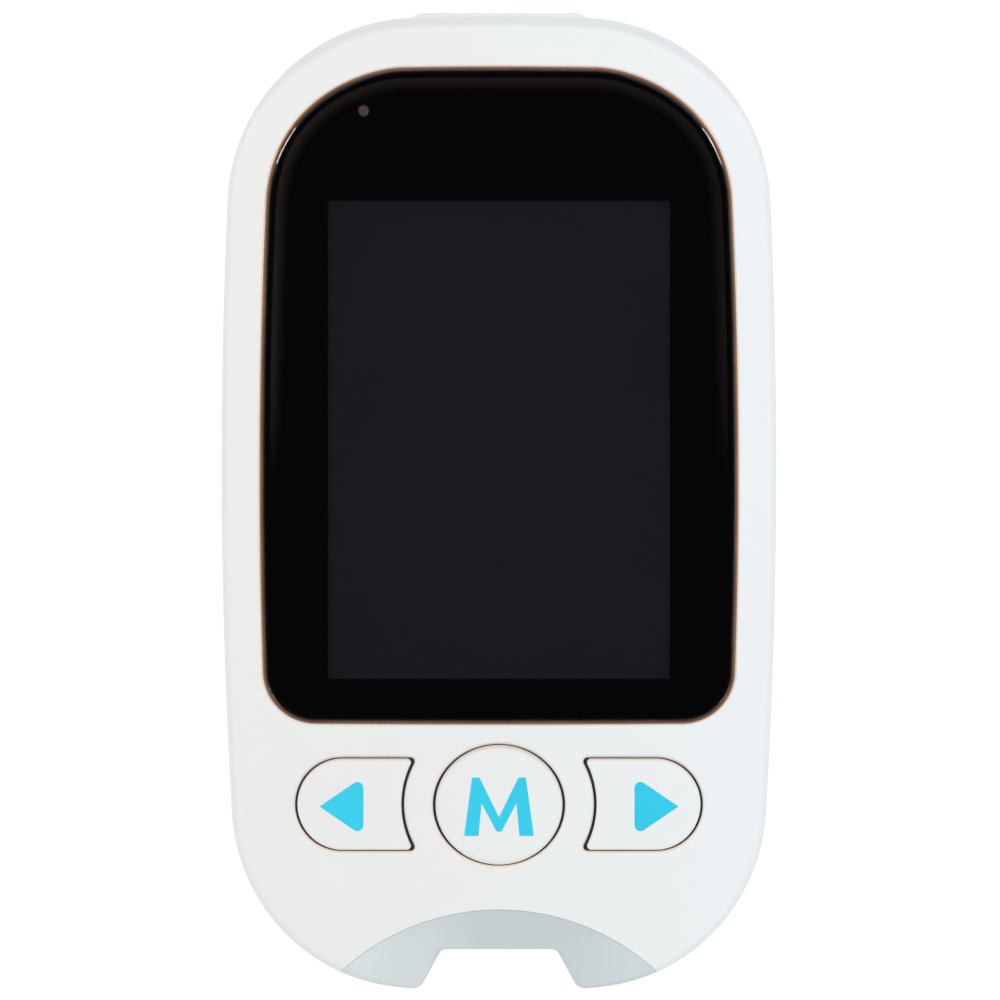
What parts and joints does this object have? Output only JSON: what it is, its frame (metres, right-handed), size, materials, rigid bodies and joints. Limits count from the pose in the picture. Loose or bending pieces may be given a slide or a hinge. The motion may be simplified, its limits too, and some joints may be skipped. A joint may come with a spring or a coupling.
{
  "type": "blood glucose meter",
  "caption": "Handheld blood glucose meter: dark colour screen, arrow and mode keys, notched test strip port, hinged battery door.",
  "frame": {"origin": "Middle of the case in X and Y, on the flat back (z = 0), with the meter lying on its back.", "axes": "+Z comes out of the screen, +Y points to the end away from the test strip port, +X is to the right of someone reading the screen. Units are metres."},
  "size_m": [0.055, 0.0966, 0.02],
  "materials": {
    "white_shell": "satin white moulded ABS",
    "grey_plastic": "satin cool grey moulded ABS",
    "rose_trim": "rose gold anodised aluminium",
    "clear_lens": "polished clear acrylic with a hard coat",
    "black_print": "black screen print",
    "black_foam": "black closed cell foam",
    "lcd_glass": "switched off colour LCD with a polariser",
    "frame_plastic": "white reflective polycarbonate",
    "amber_flex": "amber polyimide ribbon",
    "key_cap": "satin white moulded ABS",
    "cyan_print": "cyan two shot plastic",
    "pad_rubber": "grey silicone rubber",
    "dome_steel": "bare stainless spring steel",
    "board_green": "green solder mask",
    "chip_black": "black epoxy",
    "can_steel": "tinned steel shielding can",
    "buzzer_black": "black plastic",
    "component_tan": "ceramic chip parts",
    "led_white": "moulded LED body",
    "guide_clear": "smoked clear polycarbonate",
    "socket_ivory": "ivory LCP plastic",
    "contact_gold": "gold plated contact strip",
    "cell_jacket": "printed steel jacket, set to aluminium so that the cell's mass comes out right",
    "contact_nickel": "nickel plated spring steel",
    "label_white": "blank polyester label",
    "pusher_dark": "dark acetal",
    "screw_steel": "zinc plated steel"
  },
  "bodies": {
    "housing": {"rear_shell": "white_shell", "front_shell": "white_shell", "strip_port_surround": "grey_plastic", "trim_ring": "rose_trim", "display_lens": "clear_lens", "lens_mask": "black_print", "lcd_gasket": "black_foam", "lcd_panel": "lcd_glass", "lcd_backlight_frame": "frame_plastic", "lcd_flex": "amber_flex", "snap_dome_m": "dome_steel", "snap_dome_right": "dome_steel", "snap_dome_left": "dome_steel", "main_board": "board_green", "microcontroller": "chip_black", "bluetooth_module": "can_steel", "memory_chip": "chip_black", "buzzer": "buzzer_black", "board_components": "component_tan", "status_led": "led_white", "light_guide": "guide_clear", "strip_connector": "socket_ivory", "strip_contacts": "contact_gold", "battery_cell_left": "cell_jacket", "battery_cell_right": "cell_jacket", "battery_bridge": "contact_nickel", "battery_contact_spring": "contact_nickel", "battery_contact_plate": "contact_nickel", "ejector_spring": "contact_nickel", "case_screws": "screw_steel"},
    "key_m_body": {"key_m": "key_cap", "sign_m": "cyan_print", "pad_m": "pad_rubber"},
    "key_right_body": {"key_right": "key_cap", "sign_right": "cyan_print", "pad_right": "pad_rubber"},
    "key_left_body": {"key_left": "key_cap", "sign_left": "cyan_print", "pad_left": "pad_rubber"},
    "door": {"battery_door": "white_shell", "door_label": "label_white"},
    "ejector": {"ejector_slider": "grey_plastic", "ejector_pusher": "pusher_dark"}
  },
  "joints": [
    {"name": "key_m_press", "type": "slide", "parent": "housing", "child": "key_m_body", "axis": [0, 0, -1], "range_m": [0, 0.0004], "stiffness_N_per_m": 2500, "springref_m": -0.0002, "deforming": ["snap_dome_m"]},
    {"name": "key_right_press", "type": "slide", "parent": "housing", "child": "key_right_body", "axis": [0, 0, -1], "range_m": [0, 0.0004], "stiffness_N_per_m": 2500, "springref_m": -0.0002, "deforming": ["snap_dome_right"]},
    {"name": "key_left_press", "type": "slide", "parent": "housing", "child": "key_left_body", "axis": [0, 0, -1], "range_m": [0, 0.0004], "stiffness_N_per_m": 2500, "springref_m": -0.0002, "deforming": ["snap_dome_left"]},
    {"name": "door_hinge", "type": "hinge", "parent": "housing", "child": "door", "pos_m": [0, -0.0132, 0.00075], "axis": [-1, 0, 0], "range_deg": [0, 70]},
    {"name": "strip_ejector_slide", "type": "slide", "parent": "housing", "child": "ejector", "axis": [0, -1, 0], "range_m": [0, 0.0045], "stiffness_N_per_m": 120, "springref_m": -0.002, "deforming": ["ejector_spring"]}
  ]
}
